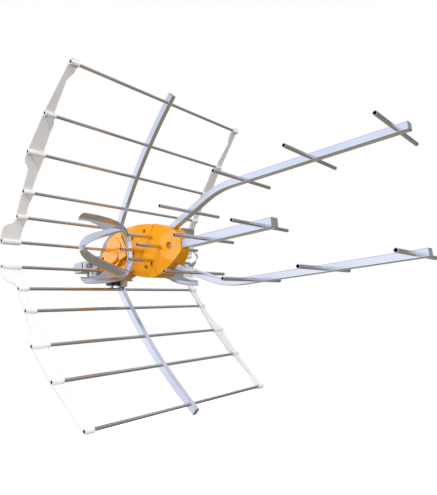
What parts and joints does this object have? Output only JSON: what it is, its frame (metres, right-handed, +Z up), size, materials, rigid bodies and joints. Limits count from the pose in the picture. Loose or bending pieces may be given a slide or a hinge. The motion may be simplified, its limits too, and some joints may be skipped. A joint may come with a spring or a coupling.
{
  "type": "uhf television antenna",
  "caption": "UHF television antenna with a three-boom director array, formed dipole, amplifier housing, curved corner reflector of rods and a rear mast clamp.",
  "frame": {"origin": "on the axis of the mast that the rear clamp grips, at half the height of the jaws", "axes": "+X forward along the booms, towards the transmitter; +Y along the rods, to the left; +Z up, along the mast"},
  "size_m": [0.8274, 0.5544, 0.6792],
  "materials": {
    "black_plastic": "matt black",
    "board_laminate": "green laminate",
    "boom_aluminium": "satin anodised",
    "clamp_casting": "matt die cast",
    "clamp_steel": "galvanised",
    "dipole_aluminium": "bright formed sheet",
    "housing_plastic": "glossy orange",
    "plate_plastic": "matt grey",
    "plated_brass": "nickel plated",
    "plug_plastic": "matt grey",
    "rod_aluminium": "satin drawn tube",
    "strip_plastic": "matt off-white",
    "tinned_steel": "tinned",
    "wedge_plastic": "matt beige",
    "zinc_screw": "zinc plated"
  },
  "bodies": {
    "antenna": {"amplifier_board": "board_laminate", "back_plate": "plate_plastic", "blanking_plug": "black_plastic", "boom_cradle": "plate_plastic", "clamp_bolts": "clamp_steel", "clamp_bracket": "clamp_steel", "connector_block": "black_plastic", "cover_screws": "zinc_screw", "dipole_carrier": "housing_plastic", "dipole_left": "dipole_aluminium", "dipole_right": "dipole_aluminium", "f_connector": "plated_brass", "front_cap": "housing_plastic", "front_jaw": "clamp_casting", "front_liner": "clamp_steel", "housing_rods": "rod_aluminium", "lower_boom": "boom_aluminium", "lower_director_1": "rod_aluminium", "lower_director_2": "rod_aluminium", "lower_director_3": "rod_aluminium", "lower_director_4": "rod_aluminium", "lower_reflector_rod_1": "rod_aluminium", "lower_reflector_rod_2": "rod_aluminium", "lower_reflector_rod_3": "rod_aluminium", "lower_reflector_rod_4": "rod_aluminium", "lower_reflector_rod_5": "rod_aluminium", "lower_reflector_rod_6": "rod_aluminium", "lower_spar": "boom_aluminium", "mid_shell": "housing_plastic", "middle_boom": "boom_aluminium", "middle_boom_plug": "plug_plastic", "middle_directors": "rod_aluminium", "outer_boom_plugs": "plug_plastic", "rear_shell": "housing_plastic", "screening_can": "tinned_steel", "shell_screws": "zinc_screw", "spar_plugs": "plug_plastic", "spar_wedges": "wedge_plastic", "strip_lower_left": "strip_plastic", "strip_lower_right": "strip_plastic", "strip_upper_left": "strip_plastic", "strip_upper_right": "strip_plastic", "terminal_screws": "zinc_screw", "upper_boom": "boom_aluminium", "upper_director_1": "rod_aluminium", "upper_director_2": "rod_aluminium", "upper_director_3": "rod_aluminium", "upper_director_4": "rod_aluminium", "upper_reflector_rod_1": "rod_aluminium", "upper_reflector_rod_2": "rod_aluminium", "upper_reflector_rod_3": "rod_aluminium", "upper_reflector_rod_4": "rod_aluminium", "upper_reflector_rod_5": "rod_aluminium", "upper_reflector_rod_6": "rod_aluminium", "upper_spar": "boom_aluminium"},
    "clamp_jaw": {"rear_jaw": "clamp_casting", "rear_liner": "clamp_steel", "clamp_washers": "clamp_steel"},
    "nut_left": {"left_clamp_nut": "clamp_steel"},
    "nut_right": {"right_clamp_nut": "clamp_steel"}
  },
  "joints": [
    {"name": "jaw_slide", "type": "slide", "parent": "antenna", "child": "clamp_jaw", "axis": [-1, 0, 0], "range_m": [0, 0.008]},
    {"name": "left_nut_spin", "type": "hinge", "parent": "clamp_jaw", "child": "nut_left", "pos_m": [-0.0438, 0.03, 0], "axis": [-1, 0, 0], "continuous": true},
    {"name": "right_nut_spin", "type": "hinge", "parent": "clamp_jaw", "child": "nut_right", "pos_m": [-0.0438, -0.03, 0], "axis": [-1, 0, 0], "continuous": true}
  ]
}
